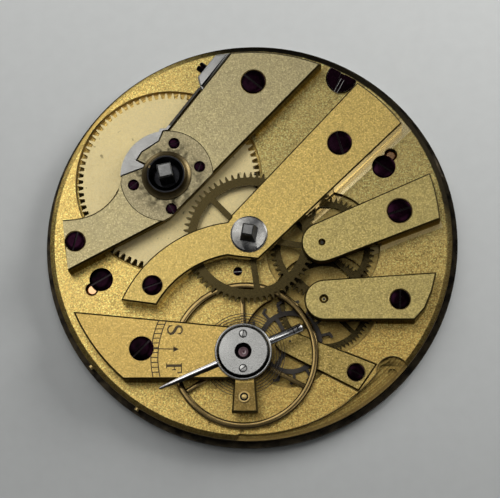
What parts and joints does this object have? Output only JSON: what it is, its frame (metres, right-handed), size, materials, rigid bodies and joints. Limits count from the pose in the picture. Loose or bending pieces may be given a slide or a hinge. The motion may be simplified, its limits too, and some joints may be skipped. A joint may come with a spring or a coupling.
{
  "type": "pocket watch movement",
  "caption": "Round key-wound pocket watch movement with gilt bar bridges, open going barrel, wheel train, plain balance with spiral spring and regulator; dial beneath",
  "frame": {"origin": "middle of the dial's outer face, on the axis of the centre wheel", "axes": "+Z out of the bridge side, along the arbors; +Y towards the twelve o'clock edge as pictured; +X to the right"},
  "size_m": [0.043, 0.043, 0.0079],
  "materials": {
    "gilt_brass": "frosted gilding, matt and grainy",
    "pale_gilt": "smooth pale gilding",
    "wheel_brass": "brushed brass",
    "blued_screw": "polished, blued almost to black",
    "polished_steel": "polished",
    "black_steel": "blackened",
    "spring_steel": "tempered",
    "blued_spring": "blued",
    "balance_gold": "polished",
    "enamel": "glossy vitreous enamel on copper",
    "copper": "plain copper",
    "ruby": "polished ruby"
  },
  "bodies": {
    "frame": {"dial": "enamel", "dial_feet": "copper", "dial_screws": "blued_screw", "main_plate": "gilt_brass", "rim_pins": "gilt_brass", "case_screw": "blued_screw", "plate_screw": "blued_screw", "barrel_bridge": "gilt_brass", "ratchet_cap": "pale_gilt", "ratchet_cap_screws": "blued_screw", "click_foot": "polished_steel", "click_screw": "blued_screw", "centre_bridge": "gilt_brass", "minute_post": "polished_steel", "third_cock": "gilt_brass", "fourth_cock": "gilt_brass", "escape_cock": "gilt_brass", "escape_cock_screw": "blued_screw", "balance_cock": "gilt_brass", "hairspring_stud": "polished_steel", "upper_balance_jewel": "ruby", "endstone": "ruby", "endstone_cap": "polished_steel", "endstone_cap_screws": "polished_steel", "chariot": "gilt_brass", "chariot_screw": "blued_screw", "lower_balance_jewel": "ruby", "large_bridge_screws": "blued_screw", "small_bridge_screws": "blued_screw", "steady_pins": "gilt_brass"},
    "barrel": {"barrel_drum": "pale_gilt", "barrel_cover": "pale_gilt", "mainspring": "spring_steel"},
    "winding_arbor": {"barrel_arbor": "polished_steel", "ratchet_wheel": "polished_steel", "winding_collar": "black_steel"},
    "click": {"click": "polished_steel"},
    "centre": {"centre_pinion": "polished_steel", "centre_wheel": "wheel_brass"},
    "setting": {"setting_arbor": "polished_steel", "cannon_pinion": "polished_steel"},
    "minute": {"minute_wheel": "wheel_brass", "minute_pinion": "polished_steel"},
    "hour": {"hour_wheel": "wheel_brass"},
    "third": {"third_pinion": "polished_steel", "third_wheel": "wheel_brass"},
    "fourth": {"fourth_pinion": "polished_steel", "fourth_wheel": "wheel_brass"},
    "escape": {"escape_pinion": "polished_steel", "escape_wheel": "polished_steel"},
    "balance": {"balance_wheel": "balance_gold", "balance_cylinder": "polished_steel", "hairspring_collet": "wheel_brass", "hairspring": "blued_spring"},
    "regulator": {"regulator": "polished_steel", "curb_pins": "wheel_brass"}
  },
  "joints": [
    {"name": "centre_spin", "type": "hinge", "parent": "frame", "child": "centre", "pos_m": [0, 0, 0.0041], "axis": [0, 0, 1], "continuous": true},
    {"name": "barrel_spin", "type": "hinge", "parent": "frame", "child": "barrel", "pos_m": [-0.00854, 0.00633, 0.0025], "axis": [0, 0, 1], "continuous": true},
    {"name": "third_spin", "type": "hinge", "parent": "frame", "child": "third", "pos_m": [0.00747, -0.00089, 0.003], "axis": [0, 0, 1], "continuous": true},
    {"name": "fourth_spin", "type": "hinge", "parent": "frame", "child": "fourth", "pos_m": [0.00763, -0.0068, 0.003], "axis": [0, 0, 1], "continuous": true},
    {"name": "escape_spin", "type": "hinge", "parent": "frame", "child": "escape", "pos_m": [0.00409, -0.01074, 0.0025], "axis": [0, 0, 1], "continuous": true},
    {"name": "winding_turn", "type": "hinge", "parent": "frame", "child": "winding_arbor", "pos_m": [-0.00854, 0.00633, 0.005], "axis": [0, 0, 1], "continuous": true},
    {"name": "click_lift", "type": "hinge", "parent": "frame", "child": "click", "pos_m": [-0.00522, 0.0157, 0.0051], "axis": [0, 0, 1], "range_deg": [-3, 0], "stiffness_Nm_per_rad": 0.002},
    {"name": "hand_setting", "type": "hinge", "parent": "frame", "child": "setting", "pos_m": [0, 0, 0.003], "axis": [0, 0, 1], "continuous": true},
    {"name": "minute_spin", "type": "hinge", "parent": "frame", "child": "minute", "pos_m": [0.0022, -0.00381, 0.0014], "axis": [0, 0, 1], "continuous": true},
    {"name": "hour_spin", "type": "hinge", "parent": "frame", "child": "hour", "pos_m": [0, 0, 0.00105], "axis": [0, 0, 1], "continuous": true},
    {"name": "balance_swing", "type": "hinge", "parent": "frame", "child": "balance", "pos_m": [-0.00056, -0.01224, 0.0036], "axis": [0, 0, 1], "range_deg": [-150, 150], "stiffness_Nm_per_rad": 0.000004, "deforming": ["hairspring"]},
    {"name": "regulator_turn", "type": "hinge", "parent": "frame", "child": "regulator", "pos_m": [-0.00056, -0.01224, 0.0057], "axis": [0, 0, 1], "range_deg": [-48, 4]}
  ],
  "couplings": [
    {"joint": "barrel_spin", "follows": "centre_spin", "ratio": -0.14286},
    {"joint": "third_spin", "follows": "centre_spin", "ratio": -8},
    {"joint": "fourth_spin", "follows": "centre_spin", "ratio": 60},
    {"joint": "escape_spin", "follows": "centre_spin", "ratio": -600},
    {"joint": "minute_spin", "follows": "hand_setting", "ratio": -0.33333},
    {"joint": "hour_spin", "follows": "hand_setting", "ratio": 0.083333}
  ]
}
